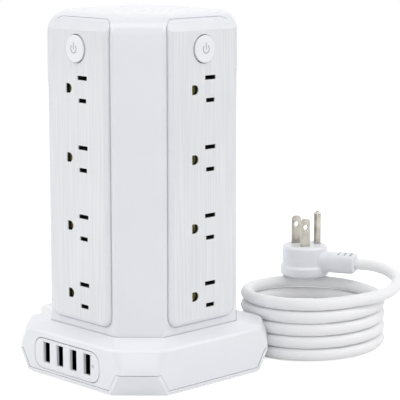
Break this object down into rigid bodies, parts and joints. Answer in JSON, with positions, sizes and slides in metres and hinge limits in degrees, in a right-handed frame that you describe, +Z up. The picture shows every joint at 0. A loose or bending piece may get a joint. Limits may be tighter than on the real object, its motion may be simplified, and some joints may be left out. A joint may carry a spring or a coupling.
{
  "type": "tower power strip",
  "caption": "Eight-sided tower power strip on a wide base: grounded outlets and a power button on each side, USB ports in the base, coiled mains cord with plug.",
  "frame": {"origin": "under the middle of the tower, on the plane its feet stand on", "axes": "+Z up along the tower; -Y out of the side with the USB ports; +X out of the side to its right, seen from the USB side"},
  "size_m": [0.2098, 0.2131, 0.2105],
  "materials": {
    "shell_plastic": "moulded ABS, polished",
    "plate_plastic": "moulded ABS, fine upright brush lines under gloss",
    "block_plastic": "black moulded polycarbonate, fine spark-eroded",
    "button_plastic": "moulded ABS, polished",
    "switch_plastic": "glass-filled nylon",
    "contact_brass": "stamped brass strip",
    "port_steel": "folded steel sheet, black nickel plated",
    "tongue_plastic": "black moulded insulator",
    "board": "solder mask on glass-fibre board",
    "absorber": "dipped blue lacquer",
    "terminal_plastic": "moulded",
    "lamp": "clear moulded light guide",
    "live_wire": "PVC insulation",
    "neutral_wire": "PVC insulation",
    "earth_wire": "PVC insulation",
    "foot_rubber": "moulded",
    "screw_steel": "zinc plated",
    "cord_vinyl": "extruded soft PVC, satin",
    "plug_vinyl": "soft PVC moulded on, satin",
    "prong_nickel": "stamped brass, nickel plated"
  },
  "bodies": {
    "tower": {"base_bottom": "shell_plastic", "base_shell": "shell_plastic", "column_shell": "shell_plastic", "face_plate_front": "plate_plastic", "face_plate_right": "plate_plastic", "face_plate_back": "plate_plastic", "face_plate_left": "plate_plastic", "power_switch_front": "switch_plastic", "power_switch_right": "switch_plastic", "power_switch_back": "switch_plastic", "power_switch_left": "switch_plastic", "outlet_block_front": "block_plastic", "outlet_block_right": "block_plastic", "outlet_block_back": "block_plastic", "outlet_block_left": "block_plastic", "neutral_strip_front": "contact_brass", "neutral_strip_right": "contact_brass", "neutral_strip_back": "contact_brass", "neutral_strip_left": "contact_brass", "live_strip_front": "contact_brass", "live_strip_right": "contact_brass", "live_strip_back": "contact_brass", "live_strip_left": "contact_brass", "earth_strip_front": "contact_brass", "earth_strip_right": "contact_brass", "earth_strip_back": "contact_brass", "earth_strip_left": "contact_brass", "usb_panel": "shell_plastic", "usb_shell_1": "port_steel", "usb_shell_2": "port_steel", "usb_shell_3": "port_steel", "usb_shell_4": "port_steel", "usb_tongue_1": "tongue_plastic", "usb_tongue_2": "tongue_plastic", "usb_tongue_3": "tongue_plastic", "usb_tongue_4": "tongue_plastic", "usb_board": "board", "lamp_window": "lamp", "surge_board": "board", "surge_absorbers": "absorber", "terminal_block": "terminal_plastic", "live_wires": "live_wire", "neutral_wires": "neutral_wire", "earth_wires": "earth_wire", "rubber_feet": "foot_rubber", "base_screws": "screw_steel", "column_screws": "screw_steel", "cord_gland": "cord_vinyl", "cord_lead": "cord_vinyl", "cord_coil": "cord_vinyl", "cord_tail": "cord_vinyl", "plug_body": "plug_vinyl", "plug_neutral_blade": "prong_nickel", "plug_live_blade": "prong_nickel", "plug_ground_pin": "prong_nickel"},
    "button_front": {"power_button_front": "button_plastic"},
    "button_right": {"power_button_right": "button_plastic"},
    "button_back": {"power_button_back": "button_plastic"},
    "button_left": {"power_button_left": "button_plastic"}
  },
  "joints": [
    {"name": "front_button_press", "type": "slide", "parent": "tower", "child": "button_front", "axis": [0, 1, 0], "range_m": [0, 0.0015], "stiffness_N_per_m": 400},
    {"name": "right_button_press", "type": "slide", "parent": "tower", "child": "button_right", "axis": [-1, 0, 0], "range_m": [0, 0.0015], "stiffness_N_per_m": 400},
    {"name": "back_button_press", "type": "slide", "parent": "tower", "child": "button_back", "axis": [0, -1, 0], "range_m": [0, 0.0015], "stiffness_N_per_m": 400},
    {"name": "left_button_press", "type": "slide", "parent": "tower", "child": "button_left", "axis": [1, 0, 0], "range_m": [0, 0.0015], "stiffness_N_per_m": 400}
  ]
}
